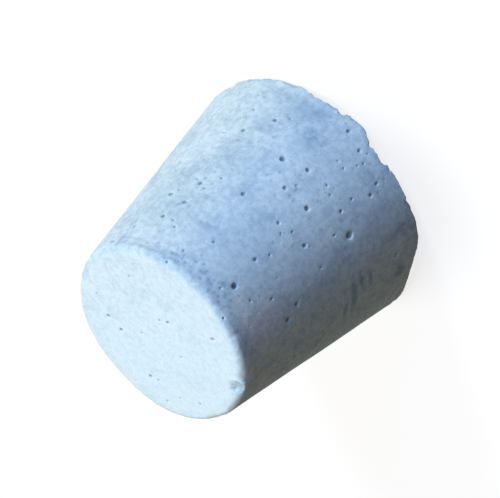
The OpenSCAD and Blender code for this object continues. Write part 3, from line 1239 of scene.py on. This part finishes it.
def stained_colour(tree, position, colour):
    """Adds the slow change of tone with its painted light tint, and the stains with their painted
    shade, that the mesh keeps.
    """
    # Painted light tint together with tone: greyer in shade and at the brightest, bluer in the
    # half-lit band
    greyer_light_and_tone, bluer_light_and_tone = both_ways(tree, attribute(tree, "tone_and_light_tint"))
    colour = tint(tree, colour, GREY_LIGHT_AND_TONE, greyer_light_and_tone)
    colour = tint(tree, colour, BLUE_LIGHT_AND_TONE, bluer_light_and_tone)
    uneven = math_node(tree, "ADD", 0.5, bumps(tree, position, STAIN_AND_SHADE_GRAIN_SIZE, 3, 0.6))
    # Stains and painted shade, broken up by grain
    stain = math_node(tree, "MULTIPLY", attribute(tree, "stain"), uneven)
    darker, paler = both_ways(tree, stain)
    colour = tint(tree, colour, STAINED_AND_SHADED, darker)
    return tint(tree, colour, PALER, paler, blend="SCREEN")


def speckled_colour(tree, position, colour, face):
    """Adds blotches, mottling and two sizes of speck, all fainter on the narrow face."""
    lively = math_node(tree, "SUBTRACT", 1.0, math_node(tree, "MULTIPLY", face, FACE_CALM))
    blotches = between(tree, bumps(tree, position, BLOTCH_SIZE, 4, 0.6), 0.46, 0.70)
    mottle = between(tree, bumps(tree, position, MOTTLE_SIZE, 2, 0.55), 0.34, 0.66)
    patches = between(tree, bumps(tree, position, SPECK_PATCH_SIZE, 2, 0.5), 0.34, 0.58)
    specks = math_node(tree, "MULTIPLY", spots(tree, position, SPECK_CELL, 0.55, 0.40), patches)
    fine_specks = spots(tree, position, FINE_SPECK_CELL, 0.5, 0.42)
    for shade, amount in ((BLOTCH, blotches), (MOTTLE, mottle), (SPECK, specks),
                          (FINE_SPECK, fine_specks)):
        colour = tint(tree, colour, shade, math_node(tree, "MULTIPLY", amount, lively))
    return colour


def surface_bump(tree, position, grit):
    """Bumps too fine for the mesh: grit and slight ripples."""
    ripples = bumps(tree, position, RIPPLE_SIZE, 3, 0.6)
    height = math_node(tree, "ADD", math_node(tree, "MULTIPLY", grit, GRIT_SHARE),
                       math_node(tree, "MULTIPLY", ripples, 1 - GRIT_SHARE))
    bump = add_node(tree, "ShaderNodeBump", {
        "Height": height, "Strength": BUMP_STRENGTH, "Distance": BUMP_DEPTH * MM})
    return bump.outputs["Normal"]


def concrete():
    """Cast cement paste: cloudy, faintly blotched, with fine grit that shows most on the breaks."""
    material, tree, output = new_material("cast_concrete")
    position = add_node(tree, "ShaderNodeTexCoord").outputs["Object"]
    height_up = add_node(tree, "ShaderNodeSeparateXYZ", {0: position}).outputs["Z"]
    face = between(tree, height_up, FACE_FROM * MM, LENGTH * MM)
    cloud = bumps(tree, position, CLOUD_SIZE, 3, 0.55)
    grit = bumps(tree, position, GRIT_SIZE, 1, 0.5)
    colour = paste_colour(tree, cloud, face)
    colour = stained_colour(tree, position, colour)
    colour = speckled_colour(tree, position, colour, face)
    colour = tint(tree, colour, GRIT, between(tree, grit, 0.35, 0.65))
    # Darkens the holes towards their bottoms: dust and painted shade
    colour = tint(tree, colour, HOLLOW_DUST_AND_SHADE, attribute(tree, "hollow"))
    # Painted bluish light on the breaks and the chip
    colour = tint(tree, colour, BREAK_BLUE_LIGHT_TINT, attribute(tree, "broken"))
    low, high = ROUGHNESS
    rough = add_node(tree, "ShaderNodeMapRange", {
        "Value": cloud, "From Min": 0.3, "From Max": 0.7, "To Min": low, "To Max": high})
    surface = add_node(tree, "ShaderNodeBsdfPrincipled", {
        "Base Color": colour, "Roughness": rough.outputs["Result"], "Specular IOR Level": SHINE,
        "Normal": surface_bump(tree, position, grit)})
    tree.links.new(surface.outputs["BSDF"], output.inputs["Surface"])
    return material


# ---------------------------------------------------------------- floor, light and camera

FLOOR_SIZE = 6.0          # metres
FLOOR_DROP = 0.02         # how far the floor lies below the stopper, so that no faces coincide
FLOOR_GLOW = 0.80         # share of the floor's white that stays in the shadow
FLOOR_TONE = (0.22, 0.22, 0.22)       # what the light adds to it where the floor is seen
FLOOR_BOUNCE = (0.05, 0.05, 0.05)     # colour with which the floor lights the stopper


def seen_ray(tree):
    """1 for rays that show the floor or the backdrop, 0 for those that carry light from them."""
    path = add_node(tree, "ShaderNodeLightPath").outputs
    seen = math_node(tree, "MAXIMUM", path["Is Camera Ray"], path["Is Glossy Ray"])
    return math_node(tree, "MAXIMUM", seen, path["Is Transmission Ray"])


def floor_material():
    """White floor that keeps a soft shadow and sends little light back up."""
    material, tree, output = new_material("floor_white")
    seen = seen_ray(tree)
    paint = add_node(tree, "ShaderNodeMix", {"Factor": seen}, data_type="RGBA")
    paint.inputs["A"].default_value = (*FLOOR_BOUNCE, 1)
    paint.inputs["B"].default_value = (*FLOOR_TONE, 1)
    glow = add_node(tree, "ShaderNodeEmission", {
        "Color": (1, 1, 1, 1), "Strength": math_node(tree, "MULTIPLY", seen, FLOOR_GLOW)})
    matt = add_node(tree, "ShaderNodeBsdfDiffuse", {"Color": paint.outputs["Result"]})
    both = add_node(tree, "ShaderNodeAddShader")
    tree.links.new(glow.outputs["Emission"], both.inputs[0])
    tree.links.new(matt.outputs["BSDF"], both.inputs[1])
    tree.links.new(both.outputs["Shader"], output.inputs["Surface"])
    return material


def make_floor():
    """One large square, just under the stopper."""
    half, z = FLOOR_SIZE / 2, -FLOOR_DROP * MM
    mesh = bpy.data.meshes.new("floor")
    mesh.from_pydata([(-half, -half, z), (half, -half, z), (half, half, z), (-half, half, z)], [],
                     [(0, 1, 2, 3)])
    floor = bpy.data.objects.new("floor", mesh)
    bpy.context.scene.collection.objects.link(floor)
    floor.data.materials.append(floor_material())
    return floor


SKY = (1.0, 0.85, 0.66)
SKY_STRENGTH = 0.168


def make_world():
    """Dim even sky that is white where it is seen."""
    world = bpy.data.worlds.new("studio")
    world.use_nodes = True
    tree = world.node_tree
    tree.nodes.clear()
    output = add_node(tree, "ShaderNodeOutputWorld")
    seen = seen_ray(tree)
    sky = add_node(tree, "ShaderNodeBackground", {"Color": (*SKY, 1), "Strength": SKY_STRENGTH})
    white = add_node(tree, "ShaderNodeBackground", {"Color": (1, 1, 1, 1), "Strength": 1.0})
    pick = add_node(tree, "ShaderNodeMixShader", {0: seen})
    tree.links.new(sky.outputs["Background"], pick.inputs[1])
    tree.links.new(white.outputs["Background"], pick.inputs[2])
    tree.links.new(pick.outputs["Shader"], output.inputs["Surface"])
    bpy.context.scene.world = world


# Lamps: name, azimuth from +X, elevation, half the angle that each spans, level, colour
LAMPS = [
    ("lamp_above", 60.0, 68.0, 10.0, 0.68, (1.0, 0.98, 0.975)),
    ("lamp_side", -30.0, 20.0, 8.0, 0.82, (0.705, 0.84, 1.0)),
    ("lamp_far", -55.0, 20.0, 12.0, 0.27, (0.14, 0.40, 1.0)),
]


def make_lamps():
    """Far lamps; a level of 1 shows a surface that faces the lamp in the colour it is written in."""
    for name, azimuth, elevation, spread, level, colour in LAMPS:
        light = bpy.data.lights.new(name, "SUN")
        light.energy = math.pi * level
        light.color = colour
        light.angle = math.radians(2 * spread)
        lamp = bpy.data.objects.new(name, light)
        a, e = math.radians(azimuth), math.radians(elevation)
        towards = Vector((math.cos(e) * math.cos(a), math.cos(e) * math.sin(a), math.sin(e)))
        lamp.rotation_euler = towards.to_track_quat("Z", "Y").to_euler()
        lamp.location = towards
        bpy.context.scene.collection.objects.link(lamp)


CAMERA_SPOT = Vector((0.175, -239.78, 191.62))
CAMERA_TILT = math.radians(36.61)    # how far the camera looks down
CAMERA_ROLL = math.radians(-132.87)
CAMERA_LENS, CAMERA_SENSOR = 158.4, 36
CAMERA_CLIP = (0.01, 20)  # metres


def make_camera():
    """A camera that looks level with the X axis, tilted down and then rolled."""
    data = bpy.data.cameras.new("camera")
    data.sensor_width = CAMERA_SENSOR
    data.lens = CAMERA_LENS
    data.clip_start, data.clip_end = CAMERA_CLIP
    camera = bpy.data.objects.new("camera", data)
    ahead = Vector((0, math.cos(CAMERA_TILT), -math.sin(CAMERA_TILT)))
    level = Vector((1, 0, 0))
    above = level.cross(ahead)
    right = level * math.cos(CAMERA_ROLL) + above * math.sin(CAMERA_ROLL)
    up = right.cross(ahead)
    turn = Matrix((right, up, -ahead)).transposed().to_4x4()
    camera.matrix_world = Matrix.Translation(CAMERA_SPOT * MM) @ turn
    bpy.context.scene.collection.objects.link(camera)
    bpy.context.scene.camera = camera


# ---------------------------------------------------------------- scene

make_camera()
make_lamps()
make_world()
make_floor()
bpy.context.scene.view_settings.view_transform = "Standard"

stopper = make_stopper()
stopper.data.materials.append(concrete())
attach(stopper, "root")
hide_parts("stopper")

bpy.context.view_layer.update()
